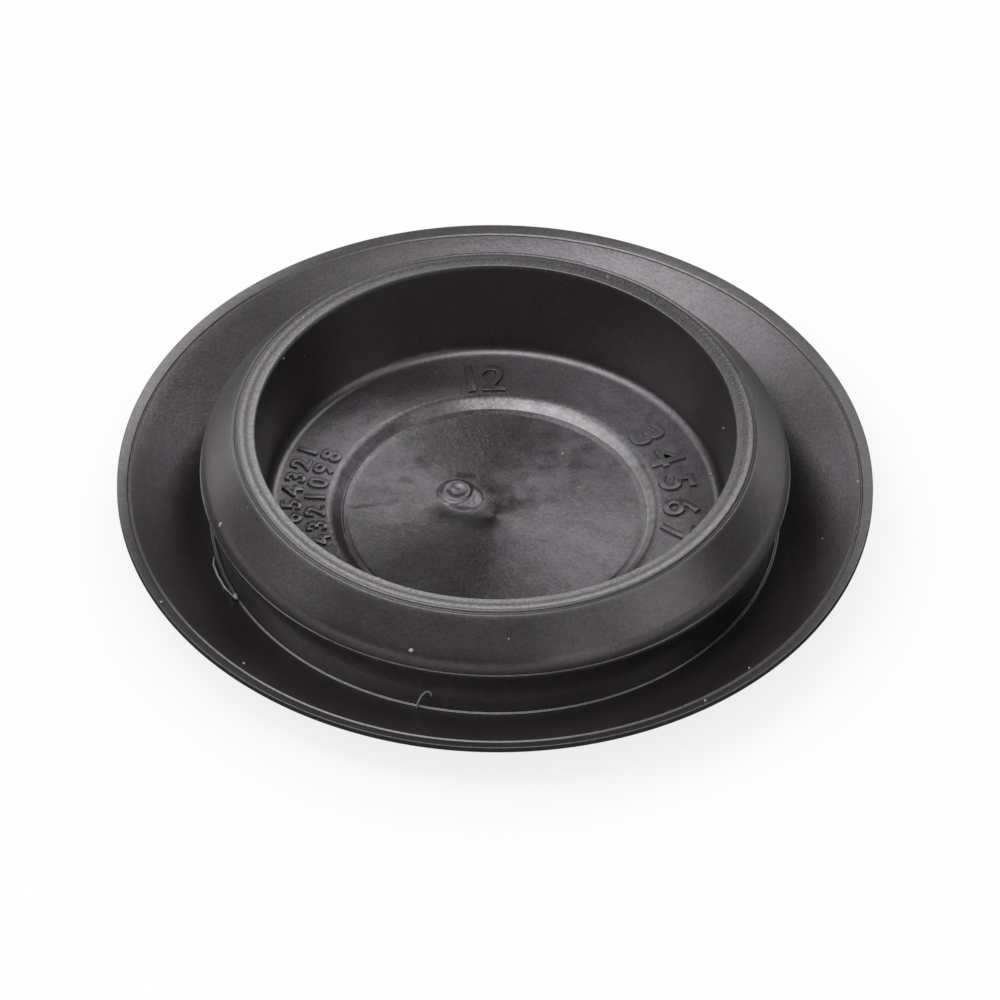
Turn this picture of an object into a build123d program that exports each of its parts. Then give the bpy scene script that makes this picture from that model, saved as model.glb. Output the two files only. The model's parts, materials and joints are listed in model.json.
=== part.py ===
from build123d import *
import os
from math import radians, tan

# Push-in hole plug, moulded in one piece from soft polyethylene.
# Millimetres. The plug stands on its cap face with the cup open upwards:
# Z is the axis, and the origin is the middle of the cap face.

# Fit in the panel
HOLE_DIAMETER = 25.4          # round hole in sheet metal that the plug closes
NECK_CLEARANCE = 0.2          # between the neck and the edge of the hole, all round
BARB_GRIP = 0.92              # how far the barb stands out past the edge of the hole
FLANGE_COVER = 4.8            # how far the flange covers the panel round the hole

# Cap and dished flange
ROOT_THICKNESS = 0.85         # flange where it leaves the neck
EDGE_THICKNESS = 0.3          # flange at its outer edge
EDGE_RISE = 2.65              # underside of the edge above the cap face
EDGE_BREAK = 0.1              # both corners of the outer edge, taken off
CAP_BEND = 4.0                # outside radius where the flat cap turns up into the flange
LIP_WIDTH = 0.45              # flat land at the edge that seals on the panel
LIP_GROOVE_WIDTH = 0.16       # fine groove that parts the land from the dish
LIP_GROOVE_DEPTH = 0.1

# Snap-in wall
NECK_BEVEL = 0.25             # at the foot of the neck
BARB_HEIGHT = 3.5             # lower edge of the barb above the cap face
BARB_LAND = 0.75              # height of the land, the widest band of the barb
BARB_UNDERCUT = 30.0          # degrees that the barb slopes in to the neck below the land
BARB_BREAK = 0.08             # both edges of the land
LEAD_IN_WIDTH = 1.47          # radial run of the cone that enters the hole first
LEAD_IN_HEIGHT = 1.95
RIM_STEP = 0.1                # how far the rim stands above the top of the cone
RIM_WIDTH = 0.8               # flat top of the wall
RIM_BREAK = 0.08              # both edges of the rim
RIM_GROOVE_WIDTH = 0.2        # between the rim and the top of the cone
RIM_GROOVE_DEPTH = 0.12
WALL_DRAFT = 6.5              # degrees that the inside of the wall opens towards the mouth

# Cup floor and the recess in it
FLOOR_THICKNESS = 1.3
FLOOR_FILLET = 0.5            # at the foot of the inside wall
WELL_DIAMETER = 15.24         # top edge of the recess
WELL_FLOOR = 0.88             # thickness that is left under the recess
WELL_DRAFT = 52.0             # degrees

# Raised witness lines where the parts of the mould meet
SEAM_OFFSET = 0.6             # from the neck to the line on the flange
SEAM_WIDTH = 0.2
SEAM_HEIGHT = 0.1
WELL_SEAM_WIDTH = 0.3         # line round the foot of the recess
WELL_SEAM_BACK = 0.12         # its steep outer side
WELL_SEAM_HEIGHT = 0.12

# Gate, where the melt entered: a low boss with a crater left of its middle
GATE_X = -1.47
GATE_Y = 1.15
GATE_BASE_DIAMETER = 2.0
GATE_TOP_DIAMETER = 1.7
GATE_HEIGHT = 0.3
CRATER_X = -0.3               # from the middle of the boss
CRATER_Y = 0.27
CRATER_DIAMETER = 0.9
CRATER_DEPTH = 0.16

# Radii and heights that follow from the sizes
hole_radius = HOLE_DIAMETER / 2
neck_radius = hole_radius - NECK_CLEARANCE
seam_radius = neck_radius + SEAM_OFFSET
flange_radius = hole_radius + FLANGE_COVER
land_inner_radius = flange_radius - LIP_WIDTH
dish_radius = land_inner_radius - LIP_GROOVE_WIDTH
barb_radius = hole_radius + BARB_GRIP
cone_top_radius = barb_radius - LEAD_IN_WIDTH
rim_radius = cone_top_radius - RIM_GROOVE_WIDTH
mouth_radius = rim_radius - RIM_WIDTH
well_radius = WELL_DIAMETER / 2

edge_top = EDGE_RISE + EDGE_THICKNESS
land_top = BARB_HEIGHT + BARB_LAND
cone_top = land_top + LEAD_IN_HEIGHT
rim_top = cone_top + RIM_STEP
cup_foot_radius = mouth_radius - (rim_top - FLOOR_THICKNESS) * tan(radians(WALL_DRAFT))
well_foot_radius = well_radius - (FLOOR_THICKNESS - WELL_FLOOR) * tan(radians(WELL_DRAFT))


def outline(*points):
    """Flat face inside a closed line through (radius, height) points."""
    return make_face(Polyline(*points, close=True))


def corners(face, *points):
    """The face's corners nearest to the given (radius, height) points."""
    return [face.vertices().sort_by_distance(point)[0] for point in points]


def rounded(face, size, *points):
    """The face with the named corners rounded."""
    return face.fillet_2d(size, corners(face, *points))


def bevelled(face, size, *points):
    """The face with the named corners cut across, or filled across where they are hollow."""
    return chamfer(corners(face, *points), size).face()


def flange_section():
    """Flat cap, then a dish that rises outwards to a thin sealing lip."""
    return outline(
        (0, 0),
        (seam_radius, 0),
        (flange_radius, EDGE_RISE),
        (flange_radius, edge_top),
        (land_inner_radius, edge_top),
        (land_inner_radius - LIP_GROOVE_WIDTH / 2, edge_top - LIP_GROOVE_DEPTH),
        (dish_radius, edge_top),
        (seam_radius + SEAM_WIDTH / 2, ROOT_THICKNESS),
        (seam_radius, ROOT_THICKNESS + SEAM_HEIGHT),
        (seam_radius - SEAM_WIDTH / 2, ROOT_THICKNESS),
        (0, ROOT_THICKNESS),
    )


def wall_section():
    """Neck, barb with its land and lead-in cone, groove and rim, not yet hollowed."""
    undercut = (barb_radius - neck_radius) * tan(radians(BARB_UNDERCUT))
    groove_floor = cone_top - RIM_GROOVE_DEPTH
    return outline(
        (0, 0),
        (neck_radius, 0),
        (neck_radius, BARB_HEIGHT - undercut),
        (barb_radius, BARB_HEIGHT),
        (barb_radius, land_top),
        (cone_top_radius, cone_top),
        (rim_radius, groove_floor),
        (rim_radius, rim_top),
        (0, rim_top),
    )


def cup_section():
    """Space inside the cup, down to its floor."""
    return outline(
        (0, FLOOR_THICKNESS),
        (cup_foot_radius, FLOOR_THICKNESS),
        (mouth_radius, rim_top),
        (0, rim_top),
    )


def well_section():
    """Shallow recess in the middle of the cup's floor, with the line round its foot."""
    return outline(
        (0, WELL_FLOOR),
        (well_foot_radius - WELL_SEAM_WIDTH, WELL_FLOOR),
        (well_foot_radius - WELL_SEAM_BACK, WELL_FLOOR + WELL_SEAM_HEIGHT),
        (well_foot_radius, WELL_FLOOR),
        (well_radius, FLOOR_THICKNESS),
        (0, FLOOR_THICKNESS),
    )


def plug_section():
    """Half section of the plug, all but the gate, with its corners finished."""
    solid_half = flange_section() + wall_section()
    half = (solid_half - cup_section() - well_section()).face()
    half = rounded(half, CAP_BEND, (seam_radius, 0))
    half = rounded(half, FLOOR_FILLET, (cup_foot_radius, FLOOR_THICKNESS))
    half = bevelled(half, NECK_BEVEL, (neck_radius, ROOT_THICKNESS))
    half = bevelled(half, EDGE_BREAK, (flange_radius, EDGE_RISE), (flange_radius, edge_top))
    half = bevelled(half, BARB_BREAK, (barb_radius, BARB_HEIGHT), (barb_radius, land_top))
    return bevelled(half, RIM_BREAK, (rim_radius, rim_top), (mouth_radius, rim_top))


def gate():
    """Low conical boss off the middle of the recess, with a shallow round crater."""
    boss = Cone(
        GATE_BASE_DIAMETER / 2,
        GATE_TOP_DIAMETER / 2,
        GATE_HEIGHT,
        align=(Align.CENTER, Align.CENTER, Align.MIN),
    )
    ball_radius = (CRATER_DIAMETER**2 / 4 + CRATER_DEPTH**2) / (2 * CRATER_DEPTH)
    ball_height = GATE_HEIGHT - CRATER_DEPTH + ball_radius
    crater = Pos(CRATER_X, CRATER_Y, ball_height) * Sphere(ball_radius)
    return Pos(GATE_X, GATE_Y, WELL_FLOOR) * (boss - crater)


def hole_plug():
    """The whole plug, one solid."""
    turned = revolve(Plane.XZ * plug_section(), Axis.Z)
    return turned + gate()


os.makedirs("parts", exist_ok=True)
export_step(hole_plug().solid(), "parts/hole_plug.step")
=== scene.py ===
"""Looks of a push-in hole plug, moulded in one piece from black polyethylene.

Metres. The plug stands on its cap face with the cup open upwards, +Z along its axis.
"""

import json
import math
import random

import bmesh
import bpy
from bpy.props import FloatProperty, FloatVectorProperty, IntProperty, PointerProperty
from mathutils import Euler, Matrix, Vector


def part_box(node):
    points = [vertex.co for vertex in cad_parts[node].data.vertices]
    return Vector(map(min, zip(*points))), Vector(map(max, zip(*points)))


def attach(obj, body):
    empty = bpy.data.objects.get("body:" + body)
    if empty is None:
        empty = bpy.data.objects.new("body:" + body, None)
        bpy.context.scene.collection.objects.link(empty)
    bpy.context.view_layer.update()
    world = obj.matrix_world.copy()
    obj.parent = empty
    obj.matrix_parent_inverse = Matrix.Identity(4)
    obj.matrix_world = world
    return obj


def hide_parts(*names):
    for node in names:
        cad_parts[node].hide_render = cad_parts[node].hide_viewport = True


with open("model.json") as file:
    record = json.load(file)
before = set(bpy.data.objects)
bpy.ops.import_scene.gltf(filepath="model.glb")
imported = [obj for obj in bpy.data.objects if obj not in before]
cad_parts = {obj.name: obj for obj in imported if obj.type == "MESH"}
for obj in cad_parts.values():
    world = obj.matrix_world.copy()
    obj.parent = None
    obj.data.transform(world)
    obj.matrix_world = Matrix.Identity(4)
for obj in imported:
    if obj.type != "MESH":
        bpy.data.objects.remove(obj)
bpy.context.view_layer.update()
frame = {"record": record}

bl_info = {
    "name": "Panel hole plug",
    "version": (1, 0, 0),
    "blender": (4, 5, 0),
    "location": "3D View > Sidebar > Hole plug",
    "description": "Models a moulded push-in hole plug with its finish, dust and a white studio",
    "category": "Object",
}

MM = 0.001
TOUCH = 1e-6                    # closer than this, two places are the same
NODE = "hole_plug"
BODY = "root"

# Sizes read from the frame
_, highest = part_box(NODE)
FLANGE_RADIUS = highest.x
RIM_TOP = highest.z
mounts = {mount["name"]: mount for mount in frame["record"]["mounts"]}
NECK_RADIUS = mounts["panel_neck"]["dims"]["r_mm"] * MM
EDGE_TOP = mounts["sealing_lip"]["pos_m"][2]


def length(name, description, default):
    """Size in metres, shown with its unit in the sidebar."""
    return FloatProperty(
        name=name, description=description, default=default, min=0, unit="LENGTH", precision=5
    )


def angle(name, description, default):
    """Angle in radians, shown in degrees in the sidebar."""
    return FloatProperty(
        name=name, description=description, default=math.radians(default), subtype="ANGLE"
    )


def colour(name, description, default):
    """Linear colour."""
    return FloatVectorProperty(
        name=name, description=description, default=default, min=0, max=1, subtype="COLOR"
    )


def share(name, description, default):
    """Number from 0 to 1."""
    return FloatProperty(name=name, description=description, default=default, min=0, max=1)


def place(name, description, default):
    """Place on a level plane."""
    return FloatVectorProperty(
        name=name, description=description, default=default, size=2, unit="LENGTH", precision=5
    )


# Sizes and colours that a user would change


class FlangeSizes(bpy.types.PropertyGroup):
    root_thickness: length("Root thickness", "Flange where it leaves the neck", 0.85 * MM)
    edge_thickness: length("Edge thickness", "Flange at its outer edge", 0.3 * MM)
    edge_round: length("Edge rounding", "Both corners of the outer edge", 0.04 * MM)
    cap_bend: length("Cap bend", "Outside radius where the cap turns up into the dish", 4.0 * MM)
    lip_width: length("Lip width", "Land that seals on the panel", 0.45 * MM)
    lip_drop: length("Lip drop", "Inner edge of the land below its outer edge", 0.15 * MM)
    groove_width: length("Groove width", "Groove that parts the land from the dish", 0.16 * MM)
    groove_depth: length("Groove depth", "Groove that parts the land from the dish", 0.06 * MM)
    seam_offset: length("Seam offset", "From the neck to the witness line", 0.6 * MM)
    seam_width: length("Seam width", "Raised witness line on the flange", 0.2 * MM)
    seam_height: length("Seam height", "Raised witness line on the flange", 0.1 * MM)


class WallSizes(bpy.types.PropertyGroup):
    barb_reach: length("Barb reach", "How far the barb stands out from the neck", 1.12 * MM)
    barb_height: length("Barb height", "Lower edge of the barb above the cap face", 3.5 * MM)
    barb_land: length("Barb land", "Height of the widest band of the barb", 0.75 * MM)
    barb_round: length("Barb rounding", "Lower edge of the land", 0.1 * MM)
    shoulder_round: length("Shoulder rounding", "From the land into the cone", 1.2 * MM)
    parting_line: length("Parting line", "How far the line round the land stands out", 0.05 * MM)
    undercut: angle("Undercut", "Slope under the barb, from level", 30)
    lead_in_width: length("Lead-in width", "Radial run of the cone", 1.47 * MM)
    lead_in_height: length("Lead-in height", "Rise of the cone", 1.95 * MM)
    cone_round: length("Cone rounding", "Top edge of the cone", 0.06 * MM)
    rim_width: length("Rim width", "Flat top of the wall", 0.8 * MM)
    rim_round: length("Rim rounding", "Edge of the rim beside the groove", 0.28 * MM)
    mouth_round: length("Mouth rounding", "Edge of the rim inside the cup", 0.1 * MM)
    groove_width: length("Rim groove width", "Between the rim and the cone", 0.2 * MM)
    groove_depth: length("Rim groove depth", "Below the top of the cone", 0.12 * MM)
    draft: angle("Wall draft", "How far the inside of the wall opens upwards", 6.5)


class CupSizes(bpy.types.PropertyGroup):
    floor_top: length("Floor thickness", "Cup floor round the recess", 1.3 * MM)
    floor_fillet: length("Floor fillet", "Foot of the inside wall", 0.5 * MM)
    well_radius: length("Recess radius", "Top edge of the recess", 7.62 * MM)
    well_round: length("Recess rounding", "Top edge of the recess", 0.6 * MM)
    well_floor: length("Recess floor", "Thickness left under the recess", 0.88 * MM)
    well_draft: angle("Recess draft", "Slope of the recess wall, from upright", 52)
    seam_width: length("Seam width", "Raised line round the foot of the recess", 0.3 * MM)
    seam_back: length("Seam back", "Steep outer side of that line", 0.07 * MM)
    seam_height: length("Seam height", "Raised line round the foot of the recess", 0.09 * MM)


class GateSizes(bpy.types.PropertyGroup):
    place: place("Place", "Middle of the mound, from the axis", (-1.47 * MM, 1.15 * MM))
    mound_radius: length("Mound radius", "Foot of the mound", 1.05 * MM)
    mound_height: length("Mound height", "Above the recess floor", 0.11 * MM)
    crater_place: place(
        "Crater place", "Middle of the crater, from the middle of the mound", (-0.3 * MM, 0.27 * MM)
    )
    crater_radius: length("Crater radius", "Crest of the ring round the crater", 0.58 * MM)
    crater_depth: length("Crater depth", "Below the crest of the ring", 0.13 * MM)
    ring_height: length("Ring height", "Crest above the recess floor", 0.25 * MM)
    tear_width: length("Tear width", "Waves in the torn surface of the nub", 0.35 * MM)
    tear_depth: length("Tear depth", "Waves in the torn surface of the nub", 0.03 * MM)
    voxel: length("Voxel", "Fineness of the nub's surface", 0.03 * MM)


class NumeralSizes(bpy.types.PropertyGroup):
    large_height: length("Large height", "Numerals behind and on the right", 1.6 * MM)
    small_height: length("Small height", "Two rows of numerals on the left", 0.9 * MM)
    rise: length("Rise", "How far the numerals stand above the cup floor", 0.12 * MM)
    rounding: length("Rounding", "Edges of the numerals", 0.035 * MM)
    weight: length("Weight", "How much bolder the strokes are than the font's", 0.055 * MM)


class DustSizes(bpy.types.PropertyGroup):
    roughness: share("Unevenness", "How far a fleck departs from a ball, of its size", 0.35)
    seed: IntProperty(name="Seed", description="Order of the flecks' turns", default=7)


class PlasticLook(bpy.types.PropertyGroup):
    base: colour("Colour", "Black polyethylene", (0.0085, 0.0066, 0.0078))
    # Pale fans round the gate: partly flow marks, partly painted highlight on the recess and cup floor
    bloom_and_sheen: colour("Bloom", "Pale flow marks where the melt spread from the gate", (0.07, 0.066, 0.073))
    # Colour of the painted highlights on the rim's edges and on the slope of the recess
    highlight_paint: colour("Highlights", "Highlit plastic on the rim", (0.34, 0.33, 0.34))
    dust: colour("Fine dust", "Specks too small to be flecks", (0.24, 0.23, 0.22))
    gloss_tint: colour("Gloss tint", "Colour of the reflections", (1.0, 0.95, 1.0))
    roughness: share("Roughness", "Satin of the finish outside", 0.33)
    inside_roughness: share("Inside roughness", "Satin of the finish in the cup", 0.27)
    unevenness: share("Unevenness", "How far the roughness varies", 0.06)
    haze: share("Haze", "How much rougher the flow marks are", 0.12)
    turning: share("Turning", "How far the mould's turning marks draw the shine out", 0.8)
    outside_turning: share("Outside turning", "The same, outside the cup", 0.28)
    rim_dullness: share("Rim dullness", "How much less the rim shines", 0.2)
    streak_dullness: share("Streak dullness", "How much less the dark streaks shine", 0.7)
    streak_depth: length("Streak depth", "Depth of the dark streaks", 0.004 * MM)
    grain: length("Grain", "Depth of the fine grain", 0.006 * MM)
    ripple: length("Ripple", "Depth of the slow waves in the surface", 0.008 * MM)
    stipple: length("Stipple", "Depth of the pits on the rim", 0.006 * MM)
    speck_size: length("Speck size", "Largest fine dust", 0.05 * MM)


class StudioSetting(bpy.types.PropertyGroup):
    aim: length("Aim", "Height that the camera looks at, on the axis", 2.8 * MM)
    distance: length("Camera distance", "From the point that it looks at", 1.0)
    elevation: angle("Camera elevation", "Above level", 43.8)
    roll: angle("Camera roll", "Turn about the line of sight", 0.55)
    field: length("Field", "Width of the picture at the plug", 46.3 * MM)
    floor_colour: colour("Floor", "White table", (0.8, 0.8, 0.8))
    # Painted shadow: the table close to the plug, as its reflections see it
    painted_shadow_floor: colour("Mirrored floor", "Table close to the plug, as it mirrors it", (0.1, 0.1, 0.1))
    lamp_distance: length("Lamp distance", "Softboxes, from the plug", 0.6)


# Fixed values and places

LINE_PLACE = 0.24 * MM          # parting line above the lower edge of the barb
PLASTIC_NAME = "satin_polyethylene"
REFRACTION = 1.7                # above real polyethylene's 1.5, for the shine of the photograph
QUARTER = 0.25                  # of a full turn, which lays the drawn-out shine across the marks
THREAD_TIP = 0.45               # thickness at the ends of a thread, beside its middle
THREAD_FLATNESS = 0.8
TABLE_WHITE = 1.04              # light that the table gives to the camera
TABLE_WHITE_SHARE = 0.8         # share of it, the rest is lit paint
TABLE_GAP = 0.02 * MM           # keeps the table clear of the cap face
SURROUND = 0.05                 # light from all round, beside white
PICTURE_SHIFT = (0.005, -0.0148)

# Pale fans round the gate, partly flow marks and partly painted highlight of the shining floor: bearing
# and half width in degrees, nearest, farthest, strength
FANS = (
    (158, 30, 0.9 * MM, 9.0 * MM, 0.9),
    (197, 10, 0.9 * MM, 6.0 * MM, 0.6),
    (8, 14, 0.8 * MM, 5.5 * MM, 0.35),
    (-28, 36, 3.2 * MM, 11.0 * MM, 0.6),
    (24, 24, 2.5 * MM, 14.0 * MM, 0.7),
    (0, 400, 0.01 * MM, 1.3 * MM, 0.8),
)

# Dark streaks in the recess, and one patch of painted shade in front of the gate nub: both ends and half
# width in mm, strength
STREAKS = (
    ((-6.6, 0.45), (-5.7, 0.68), 0.2, 0.9),
    ((-5.5, 0.78), (-4.6, 0.86), 0.16, 0.45),
    ((-6.3, 1.5), (-3.6, 1.45), 0.4, 0.3),
    ((-4.3, 2.3), (-4.1, 2.3), 0.24, 0.8),
    ((-1.7, 2.72), (-1.2, 2.62), 0.24, 0.9),
    ((-3.6, 3.6), (-3.2, 3.2), 0.3, 0.6),
    ((-0.6, 1.9), (0.3, 1.5), 0.4, 0.5),
    # Painted shade: a dull patch in front of the gate nub, where its shade falls
    ((-2.4, 0.1), (-0.5, -0.3), 0.7, 1.0),
)

# Row, digits, radius, azimuth of the first digit, step to the next, large or small
NUMERALS = (
    ("numerals_far", "12", 8.62 * MM, 97.9, -7.2, True),
    ("numerals_right", "34567", 8.55 * MM, 35.0, -11.3, True),
    ("numerals_left_outer", "1234567", 9.4 * MM, 157.0, 5.6, False),
    ("numerals_left_inner", "8901234", 8.3 * MM, 156.0, 6.6, False),
)
DIGIT_SHARE = 0.69              # height of a digit in a line of text of size 1
SINK = 0.2 * MM                 # how far a raised piece goes into the surface that it stands on

# Threads of flash as (radius in mm, azimuth in degrees, height in mm), and their thickness
FLASH = (
    (
        "flash_by_seam",
        ((13.3, -167, 0.93), (13.47, -164.5, 1.0), (13.5, -161, 1.05), (13.46, -157.5, 1.03),
         (13.3, -154.5, 0.98)),
        0.05 * MM,
    ),
    (
        "flash_blob",
        ((13.12, -155.4, 0.9), (13.2, -154.7, 1.02), (13.3, -154.1, 1.1), (13.2, -153.5, 1.0)),
        0.13 * MM,
    ),
    (
        "flash_hook",
        ((13.02, -102.6, 1.5), (12.95, -102.8, 1.68), (13.0, -103.5, 1.78), (13.15, -104.4, 1.6),
         (13.25, -105.1, 1.2), (13.3, -105.3, 0.8)),
        0.05 * MM,
    ),
)

# Flecks of dust as (radius in mm, azimuth, height in mm on an upright wall, size)
DUST = (
    (13.43, -160.1, None, 0.26 * MM),
    (13.37, -106.4, None, 0.28 * MM),
    (11.3, -118.2, None, 0.3 * MM),
    (11.11, 152.7, 5.93, 0.14 * MM),
    (11.66, 140.3, None, 0.16 * MM),
    (16.37, -134.4, None, 0.16 * MM),
    (17.32, -152.2, None, 0.18 * MM),
    (5.21, 53.0, None, 0.14 * MM),
    (10.3, 13.6, None, 0.16 * MM),
    (11.64, 63.8, None, 0.13 * MM),
    (12.81, -86.9, None, 0.12 * MM),
    (16.68, -45.2, None, 0.14 * MM),
    (17.21, -55.6, None, 0.17 * MM),
    (16.81, 1.8, None, 0.13 * MM),
    (15.37, -9.5, None, 0.13 * MM),
    (10.9, 13.9, 4.08, 0.15 * MM),
    (4.35, 25.1, None, 0.13 * MM),
)

# Softboxes: name, azimuth from +X and elevation in degrees, side, brightness beside white
SOFTBOXES = (
    ("left_front_high", 216, 60, 0.36, 2.0),
    ("front_high", 272, 62, 0.32, 2.1),
    ("right_front_high", 324, 60, 0.36, 0.9),
    ("left_high", 180, 58, 0.36, 1.3),
    ("left_back_high", 144, 58, 0.36, 0.4),
    ("over_front", 240, 76, 0.36, 0.75),
    ("left_side", 180, 36, 0.36, 1.1),
    ("right_front", 335, 25, 0.34, 0.9),
    ("right_front_low", 300, 14, 0.22, 1.0),
    ("back_right", 63, 50, 0.28, 2.9),
    ("back_left", 120, 38, 0.28, 1.3),
    ("back_low", 90, 14, 0.22, 0.3),
    ("back_right_low", 40, 6, 0.18, 1.0),
    ("back_left_low", 140, 6, 0.18, 2.2),
)


# Selecting and drawing


def deselect():
    """Leaves edit mode and selects nothing."""
    if bpy.context.mode != "OBJECT":
        bpy.ops.object.mode_set(mode="OBJECT")
    bpy.ops.object.select_all(action="DESELECT")


def pick(kind, wanted):
    """Selects the vertices, edges or faces of the mesh in edit mode that pass the test."""
    mesh = bpy.context.edit_object.data
    bpy.ops.mesh.select_mode(type={"verts": "VERT", "edges": "EDGE", "faces": "FACE"}[kind])
    bpy.ops.mesh.select_all(action="DESELECT")
    form = bmesh.from_edit_mesh(mesh)
    for element in getattr(form, kind):
        element.select_set(wanted(element))
    form.select_flush_mode()
    bmesh.update_edit_mesh(mesh)


def draw_wire(points):
    """Wire through the points, left in edit mode."""
    deselect()
    bpy.ops.mesh.primitive_plane_add(size=MM, location=points[0])
    bpy.ops.object.transform_apply()
    bpy.ops.object.mode_set(mode="EDIT")
    bpy.ops.mesh.select_mode(type="VERT")
    bpy.ops.mesh.select_all(action="SELECT")
    bpy.ops.mesh.merge(type="CENTER")
    for here, there in zip(points, points[1:]):
        bpy.ops.mesh.extrude_region_move(TRANSFORM_OT_translate={"value": there - here})


def draw_outline(corners, facet):
    """Wire through (radius, height, rounding) corners in the XZ plane, left in edit mode."""
    points = [Vector((radius, 0, height)) for radius, height, _ in corners]
    draw_wire(points)
    for before, here, after, corner in zip(points, points[1:], points[2:], corners[1:]):
        if corner[2]:
            round_corner(before, here, after, corner[2], facet)


def round_corner(before, here, after, rounding, facet):
    """Rounds one corner of the wire with an arc of the given radius."""
    turn = (here - before).angle(after - here)
    pick("verts", lambda vertex: (vertex.co - here).length < TOUCH)
    bpy.ops.mesh.bevel(
        affect="VERTICES",
        offset_type="OFFSET",
        offset=rounding * math.tan(turn / 2),
        segments=max(2, math.ceil(turn / facet)),
        clamp_overlap=False,
    )


def turn_piece(name, corners, steps, longest, facet=math.radians(9)):
    """Closed turned piece from a half outline that starts and ends on the Z axis."""
    draw_outline(corners, facet)
    cuts = 1
    while cuts:
        pick("edges", lambda edge: edge.calc_length() > longest)
        cuts = bpy.context.edit_object.data.total_edge_sel
        if cuts:
            bpy.ops.mesh.subdivide(number_cuts=1)
    bpy.ops.mesh.select_all(action="SELECT")
    bpy.ops.mesh.spin(
        steps=steps, angle=math.tau, center=(0, 0, 0), axis=(0, 0, 1), use_auto_merge=True
    )
    bpy.ops.mesh.select_all(action="SELECT")
    bpy.ops.mesh.remove_doubles(threshold=longest / 10000)
    bpy.ops.mesh.normals_make_consistent(inside=False)
    deselect()
    piece = bpy.context.active_object
    piece.name = piece.data.name = name
    return piece


def move_mesh(piece, x, y, z, turned=0):
    """Turns the piece about Z, moves it and leaves its place in its mesh."""
    piece.data.transform(Matrix.Translation((x, y, z)) @ Matrix.Rotation(turned, 4, "Z"))


def round_axis(radius, azimuth, height):
    """Point from a radius and height in millimetres and an azimuth in degrees."""
    turn = math.radians(azimuth)
    return Vector((radius * math.cos(turn), radius * math.sin(turn), height)) * MM


def gather(name, pieces):
    """The pieces as one object."""
    deselect()
    for piece in pieces:
        piece.select_set(True)
    bpy.context.view_layer.objects.active = pieces[0]
    bpy.ops.object.join()
    pieces[0].name = pieces[0].data.name = name
    return pieces[0]


def use_modifier(piece, kind, **settings):
    """Adds a modifier and applies it."""
    deselect()
    piece.select_set(True)
    bpy.context.view_layer.objects.active = piece
    modifier = piece.modifiers.new(kind.title(), kind)
    for setting, value in settings.items():
        setattr(modifier, setting, value)
    bpy.ops.object.modifier_apply(modifier=modifier.name)


def join(piece, other, operation):
    """Joins or cuts the piece with another closed one, which is used up."""
    use_modifier(piece, "BOOLEAN", object=other, operation=operation, solver="EXACT")
    bpy.data.objects.remove(other)


def finish_piece(piece, material, crease=math.radians(35)):
    """Smooth shading, material and body."""
    deselect()
    piece.select_set(True)
    bpy.context.view_layer.objects.active = piece
    bpy.ops.object.shade_smooth_by_angle(angle=crease)
    use_modifier(piece, "WEIGHTED_NORMAL", keep_sharp=True)
    piece.data.materials.clear()
    piece.data.materials.append(material)
    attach(piece, BODY)


# Radii that the outlines and the finish share


def rim_radii(wall):
    """Outer and inner radius of the rim."""
    outer = NECK_RADIUS + wall.barb_reach - wall.lead_in_width - wall.groove_width
    return outer, outer - wall.rim_width


def cup_foot_radius(wall, cup):
    """Where the inside wall meets the cup floor."""
    return rim_radii(wall)[1] - (RIM_TOP - cup.floor_top) * math.tan(wall.draft)


def well_foot_radius(cup):
    """Foot of the recess."""
    return cup.well_radius - (cup.floor_top - cup.well_floor) * math.tan(cup.well_draft)


# Outlines of the turned forms, as (radius, height, rounding) corners


def flange_corners(flange):
    """From the cap's middle round the sealing lip to the witness line by the neck."""
    seam_radius = NECK_RADIUS + flange.seam_offset
    land_radius = FLANGE_RADIUS - flange.lip_width
    land_top = EDGE_TOP - flange.lip_drop
    groove_round = 0.04 * MM
    seam_round = 0.05 * MM
    return [
        (0, 0, 0),
        (seam_radius, 0, flange.cap_bend),
        (FLANGE_RADIUS, EDGE_TOP - flange.edge_thickness, flange.edge_round),
        (FLANGE_RADIUS, EDGE_TOP, flange.edge_round),
        (land_radius, land_top, groove_round),
        (land_radius - flange.groove_width / 2, land_top - flange.groove_depth, groove_round),
        (land_radius - flange.groove_width, land_top, groove_round),
        (seam_radius + flange.seam_width / 2, flange.root_thickness, seam_round),
        (seam_radius, flange.root_thickness + flange.seam_height, seam_round),
        (seam_radius - flange.seam_width / 2, flange.root_thickness, seam_round),
    ]


def wall_corners(flange, wall):
    """Neck, barb, lead-in cone, groove and rim."""
    barb_radius = NECK_RADIUS + wall.barb_reach
    rim_outer, rim_inner = rim_radii(wall)
    land_top = wall.barb_height + wall.barb_land
    cone_top = land_top + wall.lead_in_height
    line_height = wall.barb_height + LINE_PLACE
    line_tip = 0.01 * MM
    return [
        (NECK_RADIUS, flange.root_thickness, 0),
        (NECK_RADIUS, wall.barb_height - wall.barb_reach * math.tan(wall.undercut), wall.barb_round),
        (barb_radius, wall.barb_height, wall.barb_round),
        (barb_radius, line_height - wall.parting_line, 0),
        (barb_radius + wall.parting_line, line_height, line_tip),
        (barb_radius, line_height + wall.parting_line, 0),
        (barb_radius, land_top, wall.shoulder_round),
        (rim_outer + wall.groove_width, cone_top, wall.cone_round),
        (rim_outer, cone_top - wall.groove_depth, wall.cone_round),
        (rim_outer, RIM_TOP, wall.rim_round),
        (rim_inner, RIM_TOP, wall.mouth_round),
    ]


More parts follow.
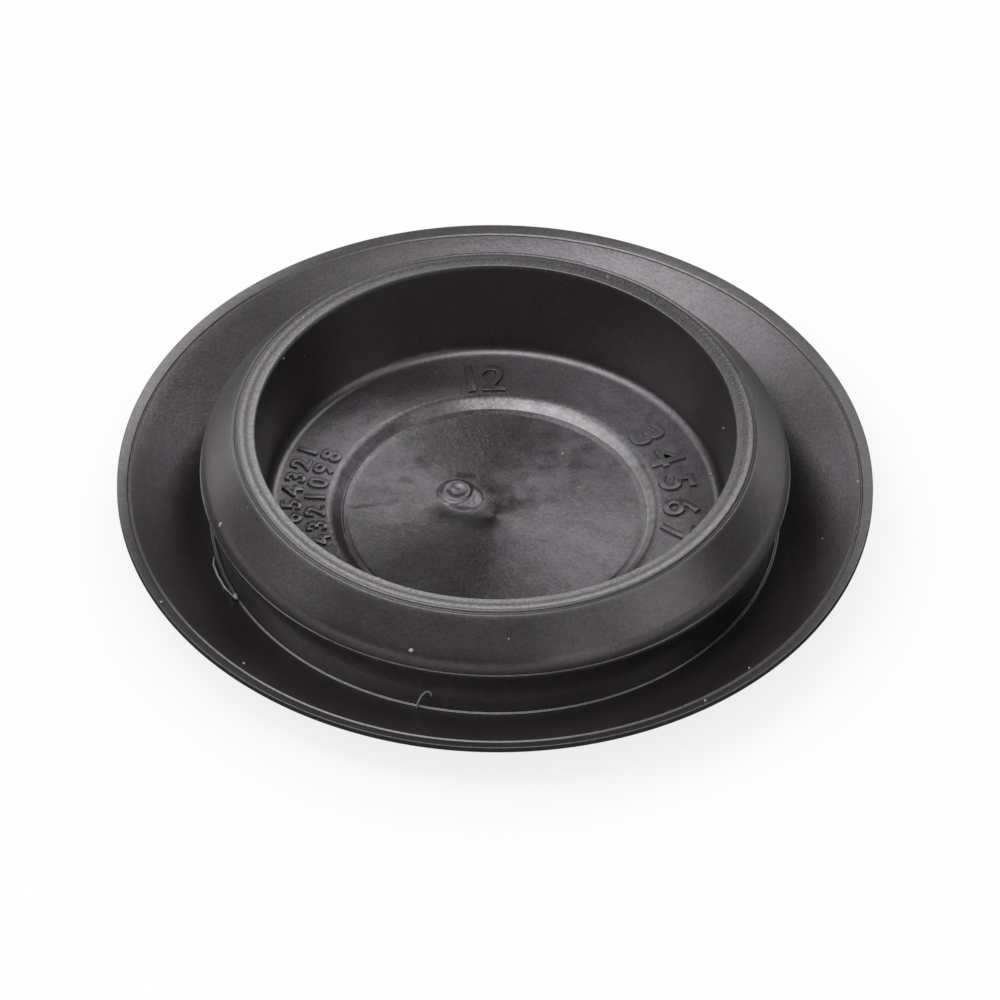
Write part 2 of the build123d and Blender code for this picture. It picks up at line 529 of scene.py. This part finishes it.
def cup_corners(wall, cup):
    """From the foot of the inside wall over the seam to the middle of the recess."""
    well_foot = well_foot_radius(cup)
    seam_round = 0.05 * MM
    return [
        (cup_foot_radius(wall, cup), cup.floor_top, cup.floor_fillet),
        (cup.well_radius, cup.floor_top, cup.well_round),
        (well_foot, cup.well_floor, seam_round),
        (well_foot - cup.seam_back, cup.well_floor + cup.seam_height, seam_round),
        (well_foot - cup.seam_width, cup.well_floor, seam_round),
        (0, cup.well_floor, 0),
    ]


# Materials


def add_node(tree, kind, inputs=None, **settings):
    """Node with its inputs set, or linked where the value is a socket."""
    made = tree.nodes.new(kind)
    for setting, value in settings.items():
        setattr(made, setting, value)
    for key, value in (inputs or {}).items():
        if isinstance(value, bpy.types.NodeSocket):
            tree.links.new(value, made.inputs[key])
        else:
            made.inputs[key].default_value = value
    return made


def new_material(name):
    """Empty node material and its output node."""
    material = bpy.data.materials.new(name)
    material.use_nodes = True
    material.node_tree.nodes.clear()
    output = material.node_tree.nodes.new("ShaderNodeOutputMaterial")
    return material, material.node_tree, output


def compute(tree, operation, *values):
    """Result of a math node on numbers or sockets."""
    inputs = dict(enumerate(values))
    return add_node(tree, "ShaderNodeMath", inputs, operation=operation).outputs[0]


def fade(tree, value, zero, one):
    """0 where the value is at zero, 1 where it is at one, with a soft change between."""
    inputs = {"Value": value, "From Min": zero, "From Max": one}
    ramp = add_node(tree, "ShaderNodeMapRange", inputs, interpolation_type="SMOOTHSTEP")
    return ramp.outputs["Result"]


def product(tree, *values):
    """All the values multiplied."""
    result = values[0]
    for value in values[1:]:
        result = compute(tree, "MULTIPLY", result, value)
    return result


def level_distance(tree, x, y):
    """Length of a line on the level plane, from its reach along X and along Y."""
    squares = compute(tree, "ADD", product(tree, x, x), product(tree, y, y))
    return compute(tree, "SQRT", squares)


def noise(tree, vector, per_mm, detail=2.0):
    """Noise from 0 to 1 with so many cells in a millimetre."""
    inputs = {"Vector": vector, "Scale": per_mm / MM, "Detail": detail}
    return add_node(tree, "ShaderNodeTexNoise", inputs).outputs["Fac"]


def blend_colours(tree, factor, under, over):
    """Colour between two."""
    mixer = add_node(tree, "ShaderNodeMix", data_type="RGBA")
    for key, value in ((0, factor), (6, under), (7, over)):
        if isinstance(value, bpy.types.NodeSocket):
            tree.links.new(value, mixer.inputs[key])
        else:
            mixer.inputs[key].default_value = value
    return mixer.outputs[2]


def plastic(scene):
    """Black moulded polyethylene, made once and shared by all the moulded pieces."""
    found = bpy.data.materials.get(PLASTIC_NAME)
    if found:
        return found
    look, wall, cup = scene.plug_plastic, scene.plug_wall, scene.plug_cup
    material, tree, output = new_material(PLASTIC_NAME)
    vector = add_node(tree, "ShaderNodeTexCoord").outputs["Object"]
    parts = add_node(tree, "ShaderNodeSeparateXYZ", {"Vector": vector})
    x, y, z = parts.outputs["X"], parts.outputs["Y"], parts.outputs["Z"]
    radius = level_distance(tree, x, y)
    bloom_and_sheen = flow_marks_and_sheen(tree, scene, vector, x, y, z)
    streaks = melt_streaks_and_shade(tree, scene, vector, x, y, z)
    specks = dust_specks(tree, look, vector)
    cloud = noise(tree, vector, 0.35, 4.0)
    foot_radius = cup_foot_radius(wall, cup)
    inside = fade(tree, radius, foot_radius - 0.28 * MM, foot_radius - 0.78 * MM)
    turning = compute(
        tree, "MULTIPLY_ADD", inside, look.turning - look.outside_turning, look.outside_turning
    )
    turned = add_node(
        tree, "ShaderNodeCombineXYZ", {"X": compute(tree, "MULTIPLY", y, -1.0), "Y": x}
    )
    # Pale fans: flow marks and painted highlight
    colour_here = blend_colours(tree, bloom_and_sheen, (*look.base, 1), (*look.bloom_and_sheen, 1))
    # Painted highlights on the rim's edges and on the slope of the recess
    painted_highlights = compute(
        tree,
        "MAXIMUM",
        rim_painted_highlights(tree, wall, vector, x, y, z, radius),
        recess_painted_highlight(tree, cup, vector, x, y, z, radius),
    )
    colour_here = blend_colours(tree, painted_highlights, colour_here, (*look.highlight_paint, 1))
    colour_here = blend_colours(tree, specks, colour_here, (*look.dust, 1))
    spread = compute(tree, "MULTIPLY_ADD", cloud, look.unevenness * 2, look.roughness - look.unevenness)
    roughness = compute(tree, "MULTIPLY_ADD", specks, 0.4, spread)
    roughness = compute(tree, "MULTIPLY_ADD", bloom_and_sheen, look.haze, roughness)
    roughness = compute(tree, "MULTIPLY_ADD", inside, look.inside_roughness - look.roughness, roughness)
    shader = add_node(
        tree,
        "ShaderNodeBsdfPrincipled",
        {
            "Base Color": colour_here,
            "Roughness": roughness,
            "IOR": REFRACTION,
            "Specular IOR Level": speckled_gloss(tree, look, vector, z, inside, streaks),
            "Specular Tint": (*look.gloss_tint, 1),
            "Anisotropic": turning,
            "Anisotropic Rotation": QUARTER,
            "Tangent": turned.outputs["Vector"],
            "Normal": moulded_relief(tree, look, vector, z, streaks),
        },
    )
    tree.links.new(shader.outputs["BSDF"], output.inputs["Surface"])
    return material


def speckled_gloss(tree, look, vector, z, inside, streaks):
    """Strength of the shine: finely speckled, and dull on the streaks and the rim."""
    cloudy = 0.35
    coarse = compute(tree, "MULTIPLY", noise(tree, vector, 1.8, 4.0), cloudy)
    speckle = compute(tree, "ADD", coarse, noise(tree, vector, 7.0, 3.0))
    centred = compute(tree, "SUBTRACT", speckle, (1 + cloudy) / 2)
    contrast = compute(tree, "MULTIPLY_ADD", inside, 0.65, 0.8)
    gloss = compute(tree, "MULTIPLY_ADD", centred, contrast, 1.03)
    streaked = compute(tree, "MULTIPLY_ADD", streaks, -look.streak_dullness, 1.0)
    rim = compute(tree, "MULTIPLY_ADD", on_rim(tree, z), -look.rim_dullness, 1.0)
    return product(tree, gloss, streaked, rim)


def moulded_relief(tree, look, vector, z, streaks):
    """Normal with slow waves, satin grain, streaks in the recess, and pits on the rim."""
    ripple = compute(tree, "MULTIPLY", noise(tree, vector, 0.7, 1.0), look.ripple)
    satin = compute(tree, "MULTIPLY", noise(tree, vector, 2.5, 2.0), look.grain)
    grain = compute(tree, "MULTIPLY", noise(tree, vector, 8.0, 2.0), look.grain)
    pits = product(tree, noise(tree, vector, 8.0, 1.0), on_rim(tree, z), look.stipple)
    sunk = compute(tree, "MULTIPLY", streaks, -look.streak_depth)
    height = ripple
    for layer in (satin, grain, pits, sunk):
        height = compute(tree, "ADD", height, layer)
    return add_node(tree, "ShaderNodeBump", {"Height": height, "Distance": 1.0}).outputs["Normal"]


def flow_marks_and_sheen(tree, scene, vector, x, y, z):
    """Share of pale colour in fans round the gate, on the floor of the recess and the cup: partly flow
    marks, partly painted highlight.
    """
    gate, cup = scene.plug_gate, scene.plug_cup
    along = compute(tree, "SUBTRACT", x, gate.place[0])
    across = compute(tree, "SUBTRACT", y, gate.place[1])
    distance = level_distance(tree, along, across)
    bearing = compute(tree, "ARCTAN2", across, along)
    waver = compute(tree, "MULTIPLY_ADD", noise(tree, vector, 0.9, 3.0), 0.9, -0.45)
    bearing = compute(tree, "ADD", bearing, waver)
    mottle = fade(tree, noise(tree, vector, 1.6, 3.0), 0.25, 0.65)
    total = 0.0
    for middle, half_width, start, end, strength in FANS:
        turn = compute(tree, "SUBTRACT", bearing, math.radians(middle))
        turn = compute(tree, "ABSOLUTE", compute(tree, "WRAP", turn, math.pi, -math.pi))
        inside = fade(tree, turn, math.radians(half_width * 1.5), math.radians(half_width * 0.3))
        reach = fade(tree, distance, start * 0.6, start)
        stop = fade(tree, distance, end, end * 0.7)
        total = compute(tree, "ADD", total, product(tree, inside, reach, stop, strength))
    uneven = compute(tree, "MULTIPLY_ADD", mottle, 0.85, 0.25)
    below = fade(tree, z, cup.floor_top + 0.3 * MM, cup.floor_top + 0.1 * MM)
    return product(tree, total, uneven, above_cap(tree, cup, z), below)


def above_cap(tree, cup, z):
    """0 on the outer face of the cap, 1 inside the cup."""
    return fade(tree, z, cup.well_floor * 0.5, cup.well_floor * 0.7)


def on_rim(tree, z):
    """1 on the rim, 0 below it."""
    return fade(tree, z, RIM_TOP - 0.3 * MM, RIM_TOP - 0.1 * MM)


def towards(tree, x, y, radius, azimuth):
    """1 on the side of the plug that the azimuth in degrees names, -1 on the far side."""
    turn = math.radians(azimuth)
    side = compute(tree, "MULTIPLY_ADD", x, math.cos(turn), product(tree, y, math.sin(turn)))
    return compute(tree, "DIVIDE", side, radius)


def rim_painted_highlights(tree, wall, vector, x, y, z, radius):
    """Share of painted highlight on the rim: a band 0.3 mm wide inside, a line 0.17 mm wide outside, less
    between, most on the front-left side where the light falls.
    """
    rim_outer, rim_inner = rim_radii(wall)
    inner = fade(tree, radius, rim_inner + 0.39 * MM, rim_inner + 0.21 * MM)
    outer = product(
        tree,
        fade(tree, radius, rim_outer - 0.35 * MM, rim_outer - 0.25 * MM),
        fade(tree, radius, rim_outer - 0.09 * MM, rim_outer - 0.17 * MM),
    )
    edges = compute(tree, "MAXIMUM", inner, outer)
    amount = compute(tree, "MULTIPLY_ADD", edges, 0.65, 0.35)
    uneven = fade(tree, noise(tree, vector, 9.0, 3.0), -0.1, 0.8)
    # Painted highlight is strongest on the side facing azimuth 230, which the lamps light most
    side = compute(tree, "MULTIPLY_ADD", towards(tree, x, y, radius, 230), 0.5, 0.58)
    return product(tree, on_rim(tree, z), amount, uneven, side)


def recess_painted_highlight(tree, cup, vector, x, y, z, radius):
    """Share of painted highlight on the slope of the recess, on its right and far sides."""
    foot, top = well_foot_radius(cup), cup.well_radius
    slope = product(
        tree,
        fade(tree, radius, foot - 0.13 * MM, foot),
        fade(tree, radius, top - 0.07 * MM, top - 0.27 * MM),
        above_cap(tree, cup, z),
    )
    # Painted highlight on the side facing azimuth 30
    side = fade(tree, towards(tree, x, y, radius, 30), 0.3, 0.9)
    uneven = fade(tree, noise(tree, vector, 3.0, 3.0), -0.2, 0.9)
    return product(tree, slope, side, uneven, 0.85)


def melt_streaks_and_shade(tree, scene, vector, x, y, z):
    """1 on the dark streaks where fronts of melt met on the recess floor and on a patch of painted shade
    in front of the gate nub, 0 elsewhere.
    """
    drift = add_node(tree, "ShaderNodeTexNoise", {"Vector": vector, "Scale": 1.2 / MM, "Detail": 3.0})
    shift = add_node(tree, "ShaderNodeSeparateXYZ", {"Vector": drift.outputs["Color"]}).outputs
    wander = 0.5 * MM
    x = compute(tree, "ADD", x, compute(tree, "MULTIPLY_ADD", shift["X"], wander, -wander / 2))
    y = compute(tree, "ADD", y, compute(tree, "MULTIPLY_ADD", shift["Y"], wander, -wander / 2))
    total = 0.0
    for (x1, y1), (x2, y2), width, strength in STREAKS:
        run, rise = (x2 - x1) * MM, (y2 - y1) * MM
        right = compute(tree, "SUBTRACT", x, x1 * MM)
        up = compute(tree, "SUBTRACT", y, y1 * MM)
        reached = compute(tree, "MULTIPLY_ADD", up, rise, compute(tree, "MULTIPLY", right, run))
        along = fade_straight(tree, reached, run * run + rise * rise)
        off_x = compute(tree, "MULTIPLY_ADD", along, -run, right)
        off_y = compute(tree, "MULTIPLY_ADD", along, -rise, up)
        away = level_distance(tree, off_x, off_y)
        mark = compute(tree, "MULTIPLY", fade(tree, away, width * 1.5 * MM, 0.0), strength)
        total = compute(tree, "MAXIMUM", total, mark)
    cup = scene.plug_cup
    low = fade(tree, z, cup.floor_top, cup.floor_top - 0.05 * MM)
    return product(tree, total, low, above_cap(tree, cup, z))


def fade_straight(tree, value, one):
    """0 at nothing, 1 at the given value, straight between."""
    inputs = {"Value": value, "From Min": 0.0, "From Max": one}
    return add_node(tree, "ShaderNodeMapRange", inputs).outputs["Result"]


def dust_specks(tree, look, vector):
    """1 on scattered specks of fine dust, 0 elsewhere."""
    per_mm = 0.8
    cells = add_node(tree, "ShaderNodeTexVoronoi", {"Vector": vector, "Scale": per_mm / MM})
    chance = add_node(tree, "ShaderNodeSeparateXYZ", {"Vector": cells.outputs["Color"]})
    largest = look.speck_size * per_mm / MM
    size = compute(tree, "MULTIPLY", fade(tree, chance.outputs["X"], 0.3, 1.0), largest)
    return compute(tree, "LESS_THAN", cells.outputs["Distance"], size)


def pale_flash():
    """Thin flash, pale where it was drawn out."""
    material, tree, output = new_material("drawn_flash")
    vector = add_node(tree, "ShaderNodeTexCoord").outputs["Object"]
    dark, pale = (0.1, 0.096, 0.1, 1), (0.5, 0.48, 0.5, 1)
    drawn = blend_colours(tree, noise(tree, vector, 2.0), dark, pale)
    shader = add_node(tree, "ShaderNodeBsdfPrincipled", {"Base Color": drawn, "Roughness": 0.4})
    tree.links.new(shader.outputs["BSDF"], output.inputs["Surface"])
    return material


def dust_grey():
    """Pale lint and plastic dust."""
    material, tree, output = new_material("pale_dust")
    shader = add_node(
        tree, "ShaderNodeBsdfPrincipled", {"Base Color": (0.42, 0.4, 0.36, 1), "Roughness": 0.8}
    )
    tree.links.new(shader.outputs["BSDF"], output.inputs["Surface"])
    return material


def white_table(studio):
    """Floor that the camera sees near white, with a soft shadow, and the plug sees darker, with a painted
    shadow close round it in the reflections.
    """
    material, tree, output = new_material("white_table")
    rays = add_node(tree, "ShaderNodeLightPath")
    shine = add_node(tree, "ShaderNodeEmission", {"Strength": TABLE_WHITE})
    paint = add_node(
        tree, "ShaderNodeBsdfPrincipled", {"Base Color": (*studio.floor_colour, 1), "Roughness": 0.6}
    )
    seen = compute(tree, "MULTIPLY", rays.outputs["Is Camera Ray"], TABLE_WHITE_SHARE)
    both = add_node(
        tree,
        "ShaderNodeMixShader",
        {0: seen, 1: paint.outputs["BSDF"], 2: shine.outputs["Emission"]},
    )
    vector = add_node(tree, "ShaderNodeTexCoord").outputs["Object"]
    away = add_node(tree, "ShaderNodeVectorMath", {0: vector}, operation="LENGTH").outputs["Value"]
    # Painted shadow in the reflections: dark near the plug, the floor colour further out
    open_floor = fade(tree, away, FLANGE_RADIUS * 1.2, FLANGE_RADIUS * 2.6)
    colour_here = blend_colours(
        tree, open_floor, (*studio.painted_shadow_floor, 1), (*studio.floor_colour, 1)
    )
    grey = add_node(tree, "ShaderNodeBsdfDiffuse", {"Color": colour_here})
    mirrored = add_node(
        tree,
        "ShaderNodeMixShader",
        {0: rays.outputs["Is Glossy Ray"], 1: both.outputs[0], 2: grey.outputs["BSDF"]},
    )
    tree.links.new(mirrored.outputs[0], output.inputs["Surface"])
    return material


# Operators


class PLUG_OT_turn_body(bpy.types.Operator):
    """Turn the plug's half outline round its axis"""

    bl_idname = "plug.turn_body"
    bl_label = "Plug body"
    bl_options = {"REGISTER", "UNDO"}

    def execute(self, context):
        scene = context.scene
        corners = flange_corners(scene.plug_flange)
        corners += wall_corners(scene.plug_flange, scene.plug_wall)
        corners += cup_corners(scene.plug_wall, scene.plug_cup)
        body = turn_piece("plug_body", corners, steps=256, longest=0.8 * MM)
        finish_piece(body, plastic(scene))
        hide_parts(NODE)
        return {"FINISHED"}


class PLUG_OT_raise_gate(bpy.types.Operator):
    """Raise the gate nub, a mound with a soft ring, in the recess"""

    bl_idname = "plug.raise_gate"
    bl_label = "Gate nub"
    bl_options = {"REGISTER", "UNDO"}

    def execute(self, context):
        gate = context.scene.plug_gate
        nub = self.turn_large("gate_nub", self.mound_corners(gate))
        ring = self.turn_large("gate_ring", self.ring_corners(gate))
        move_mesh(ring, gate.crater_place[0] / MM, gate.crater_place[1] / MM, 0)
        join(nub, ring, "UNION")
        use_modifier(nub, "REMESH", mode="VOXEL", voxel_size=gate.voxel / MM)
        tear = bpy.data.textures.new("torn_edge", "CLOUDS")
        tear.noise_scale = gate.tear_width / MM
        use_modifier(nub, "DISPLACE", texture=tear, strength=gate.tear_depth / MM, mid_level=0.5)
        use_modifier(nub, "SMOOTH", factor=0.5, iterations=16)
        nub.data.transform(Matrix.Scale(MM, 4))
        move_mesh(nub, *gate.place, context.scene.plug_cup.well_floor)
        finish_piece(nub, plastic(context.scene))
        return {"FINISHED"}

    def turn_large(self, name, corners):
        """Turned piece at a thousand times its size, as the voxels need."""
        large = [(radius / MM, height / MM, bend / MM) for radius, height, bend in corners]
        return turn_piece(name, large, steps=64, longest=0.3)

    def mound_corners(self, gate):
        """Low mound, sunk a little in the floor."""
        return [
            (0, -SINK, 0),
            (gate.mound_radius, -SINK, 0),
            (gate.mound_radius, 0, 0.25 * MM),
            (gate.mound_radius * 0.62, gate.mound_height, 0.6 * MM),
            (0, gate.mound_height, 0),
        ]

    def ring_corners(self, gate):
        """Soft ring with the crater in its middle."""
        crest, foot = gate.crater_radius, gate.ring_height - gate.crater_depth
        return [
            (0, -SINK, 0),
            (crest * 1.8, -SINK, 0),
            (crest * 1.7, 0, 0.15 * MM),
            (crest * 1.25, gate.mound_height + 0.02 * MM, 0.15 * MM),
            (crest * 1.08, gate.ring_height, 0.07 * MM),
            (crest * 0.85, gate.ring_height, 0.07 * MM),
            (crest * 0.4, foot, 0.12 * MM),
            (0, foot, 0),
        ]


class PLUG_OT_raise_numerals(bpy.types.Operator):
    """Raise plain numerals on the cup floor, round the recess"""

    bl_idname = "plug.raise_numerals"
    bl_label = "Numerals"
    bl_options = {"REGISTER", "UNDO"}

    def execute(self, context):
        sizes = context.scene.plug_numerals
        floor_top = context.scene.plug_cup.floor_top
        material = plastic(context.scene)
        for name, digits, radius, azimuth, pitch, large in NUMERALS:
            height = sizes.large_height if large else sizes.small_height
            row = []
            for count, digit in enumerate(digits):
                turn = math.radians(azimuth + count * pitch)
                made = self.raise_digit(digit, height, sizes)
                move_mesh(
                    made,
                    radius * math.cos(turn),
                    radius * math.sin(turn),
                    floor_top,
                    turned=turn - math.radians(90),
                )
                row.append(made)
            finish_piece(gather(name, row), material)
        return {"FINISHED"}

    def raise_digit(self, digit, height, sizes):
        """One raised digit, half sunk, upright along Y."""
        deselect()
        bpy.ops.object.text_add()
        text = bpy.context.active_object
        text.data.body = digit
        text.data.size = height / DIGIT_SHARE
        text.data.align_x = "CENTER"
        text.data.align_y = "CENTER"
        text.data.resolution_u = 6
        text.data.extrude = sizes.rise - sizes.rounding
        text.data.bevel_depth = sizes.rounding
        text.data.bevel_resolution = 2
        text.data.offset = sizes.weight - sizes.rounding
        bpy.ops.object.convert(target="MESH")
        bpy.ops.object.mode_set(mode="EDIT")
        bpy.ops.mesh.select_all(action="SELECT")
        bpy.ops.mesh.remove_doubles(threshold=TOUCH)
        bpy.ops.mesh.normals_make_consistent(inside=False)
        deselect()
        return text


class PLUG_OT_leave_flash(bpy.types.Operator):
    """Leave threads of flash by the seam and the neck"""

    bl_idname = "plug.leave_flash"
    bl_label = "Flash"
    bl_options = {"REGISTER", "UNDO"}

    def execute(self, context):
        material = pale_flash()
        for name, points, thickness in FLASH:
            route = [round_axis(radius, azimuth, height) for radius, azimuth, height in points]
            finish_piece(self.draw_thread(name, route, thickness), material)
        return {"FINISHED"}

    def draw_thread(self, name, route, thickness):
        """Round thread through the points, thin at its ends, skinned at a thousand times its size."""
        draw_wire([point / MM for point in route])
        deselect()
        thread = bpy.context.active_object
        thread.name = thread.data.name = name
        modifier = thread.modifiers.new("Skin", "SKIN")
        ends = [route[0] / MM, route[-1] / MM]
        for vertex, joint in zip(thread.data.vertices, thread.data.skin_vertices[0].data):
            at_end = min((vertex.co - end).length for end in ends) < TOUCH
            radius = thickness / MM * (THREAD_TIP if at_end else 1.0)
            joint.radius = (radius, radius * THREAD_FLATNESS)
        bpy.context.view_layer.objects.active = thread
        thread.select_set(True)
        bpy.ops.object.modifier_apply(modifier=modifier.name)
        use_modifier(thread, "SUBSURF", levels=2, render_levels=2)
        thread.data.transform(Matrix.Scale(MM, 4))
        return thread


class PLUG_OT_settle_dust(bpy.types.Operator):
    """Settle flecks of pale dust on the plug"""

    bl_idname = "plug.settle_dust"
    bl_label = "Dust"
    bl_options = {"REGISTER", "UNDO"}

    def execute(self, context):
        sizes = context.scene.plug_dust
        draw = random.Random(sizes.seed)
        pattern = self.model_fleck(sizes)
        body = bpy.data.objects["plug_body"]
        flecks = []
        for radius, azimuth, height, size in DUST:
            spot = self.find_surface(body, radius, azimuth, height)
            fleck = bpy.data.objects.new("fleck", pattern.data.copy())
            context.scene.collection.objects.link(fleck)
            turn = Euler([draw.uniform(0, math.tau) for _ in range(3)]).to_matrix().to_4x4()
            fleck.data.transform(Matrix.Translation(spot) @ turn @ Matrix.Scale(size / 2, 4))
            flecks.append(fleck)
        bpy.data.objects.remove(pattern)
        finish_piece(gather("dust", flecks), dust_grey(), crease=math.radians(60))
        return {"FINISHED"}

    def model_fleck(self, sizes):
        """Uneven lump of radius 1, flatter than it is wide."""
        deselect()
        bpy.ops.mesh.primitive_ico_sphere_add(subdivisions=2, radius=1.0)
        fleck = bpy.context.active_object
        bpy.ops.object.mode_set(mode="EDIT")
        bpy.ops.mesh.select_all(action="SELECT")
        bpy.ops.transform.resize(value=(1.0, 0.75, 0.55))
        deselect()
        crumple = bpy.data.textures.new("crumpled", "CLOUDS")
        crumple.noise_scale = 0.8
        use_modifier(fleck, "DISPLACE", texture=crumple, strength=sizes.roughness)
        return fleck

    def find_surface(self, body, radius, azimuth, height):
        """Point on the body under a place, or beside it where a height is given."""
        above = round_axis(radius, azimuth, RIM_TOP / MM + 1)
        if height is None:
            found, spot, _, _ = body.ray_cast(above, Vector((0, 0, -1)))
        else:
            axis_point = Vector((0, 0, height * MM))
            outwards = Vector((above.x, above.y, 0)).normalized()
            found, spot, _, _ = body.ray_cast(axis_point, outwards)
        if not found:
            raise RuntimeError(f"no surface at radius {radius}, azimuth {azimuth}")
        return spot


class PLUG_OT_set_studio(bpy.types.Operator):
    """Lay the white table and set the lamps and the camera"""

    bl_idname = "plug.set_studio"
    bl_label = "Studio"
    bl_options = {"REGISTER", "UNDO"}

    def execute(self, context):
        studio = context.scene.plug_studio
        deselect()
        bpy.ops.mesh.primitive_circle_add(vertices=96, radius=2.0, fill_type="NGON")
        floor = context.active_object
        floor.name = "table"
        floor.data.transform(Matrix.Translation((0, 0, -TABLE_GAP)))
        floor.data.materials.append(white_table(studio))
        self.light_world(context.scene)
        self.hang_softboxes(studio)
        self.place_camera(context.scene, studio)
        return {"FINISHED"}

    def light_world(self, scene):
        """White for the camera, dim for all else."""
        world = bpy.data.worlds.new("white_surround")
        world.use_nodes = True
        tree = world.node_tree
        tree.nodes.clear()
        rays = add_node(tree, "ShaderNodeLightPath")
        white = add_node(tree, "ShaderNodeBackground", {"Color": (1, 1, 1, 1), "Strength": 1.0})
        dim = add_node(tree, "ShaderNodeBackground", {"Color": (1, 1, 1, 1), "Strength": SURROUND})
        both = add_node(
            tree,
            "ShaderNodeMixShader",
            {0: rays.outputs["Is Camera Ray"], 1: dim.outputs[0], 2: white.outputs[0]},
        )
        output = add_node(tree, "ShaderNodeOutputWorld", {"Surface": both.outputs[0]})
        output.is_active_output = True
        scene.world = world

    def hang_softboxes(self, studio):
        """Square soft lamps round the plug."""
        for name, azimuth, elevation, side, brightness in SOFTBOXES:
            deselect()
            turn, rise = math.radians(azimuth), math.radians(elevation)
            level = math.cos(rise)
            outwards = Vector((math.cos(turn) * level, math.sin(turn) * level, math.sin(rise)))
            bpy.ops.object.light_add(type="AREA", location=outwards * studio.lamp_distance)
            lamp = bpy.context.active_object
            lamp.name = name
            lamp.rotation_euler = outwards.to_track_quat("Z", "Y").to_euler()
            lamp.data.size = side
            lamp.data.energy = brightness * side**2 * math.pi

    def place_camera(self, scene, studio):
        """Long lens at the photograph's angle."""
        middle = Vector((0, 0, studio.aim))
        deselect()
        bpy.ops.object.camera_add()
        camera = bpy.context.active_object
        camera.name = "camera"
        tilt = Matrix.Rotation(math.radians(90) - studio.elevation, 3, "X")
        camera.rotation_euler = (tilt @ Matrix.Rotation(studio.roll, 3, "Z")).to_euler()
        camera.location = middle + tilt @ Vector((0, 0, studio.distance))
        camera.data.lens = camera.data.sensor_width * studio.distance / studio.field
        camera.data.shift_x, camera.data.shift_y = PICTURE_SHIFT
        camera.data.clip_start = 0.01
        camera.data.clip_end = 10
        scene.camera = camera
        scene.view_settings.view_transform = "Standard"


class PLUG_PT_panel(bpy.types.Panel):
    """Sizes and steps of the hole plug"""

    bl_idname = "PLUG_PT_panel"
    bl_label = "Hole plug"
    bl_space_type = "VIEW_3D"
    bl_region_type = "UI"
    bl_category = "Hole plug"

    def draw(self, context):
        for operator in STEPS:
            self.layout.operator(operator.bl_idname)
        for name, group in GROUPS.items():
            box = self.layout.box()
            box.label(text=name.replace("plug_", "").capitalize())
            for setting in group.__annotations__:
                box.prop(getattr(context.scene, name), setting)


GROUPS = {
    "plug_flange": FlangeSizes,
    "plug_wall": WallSizes,
    "plug_cup": CupSizes,
    "plug_gate": GateSizes,
    "plug_numerals": NumeralSizes,
    "plug_dust": DustSizes,
    "plug_plastic": PlasticLook,
    "plug_studio": StudioSetting,
}
STEPS = (
    PLUG_OT_turn_body,
    PLUG_OT_raise_gate,
    PLUG_OT_raise_numerals,
    PLUG_OT_leave_flash,
    PLUG_OT_settle_dust,
    PLUG_OT_set_studio,
)


def register():
    """Registers the classes and hangs the groups on the scene."""
    for group in (*GROUPS.values(), *STEPS, PLUG_PT_panel):
        bpy.utils.register_class(group)
    for name, group in GROUPS.items():
        setattr(bpy.types.Scene, name, PointerProperty(type=group))


def unregister():
    """Takes away what register added."""
    for name in GROUPS:
        delattr(bpy.types.Scene, name)
    for group in reversed((*GROUPS.values(), *STEPS, PLUG_PT_panel)):
        bpy.utils.unregister_class(group)


def main():
    """Builds the plug and its studio."""
    register()
    for step in STEPS:
        family, verb = step.bl_idname.split(".")
        getattr(getattr(bpy.ops, family), verb)()


if __name__ == "__main__":
    main()
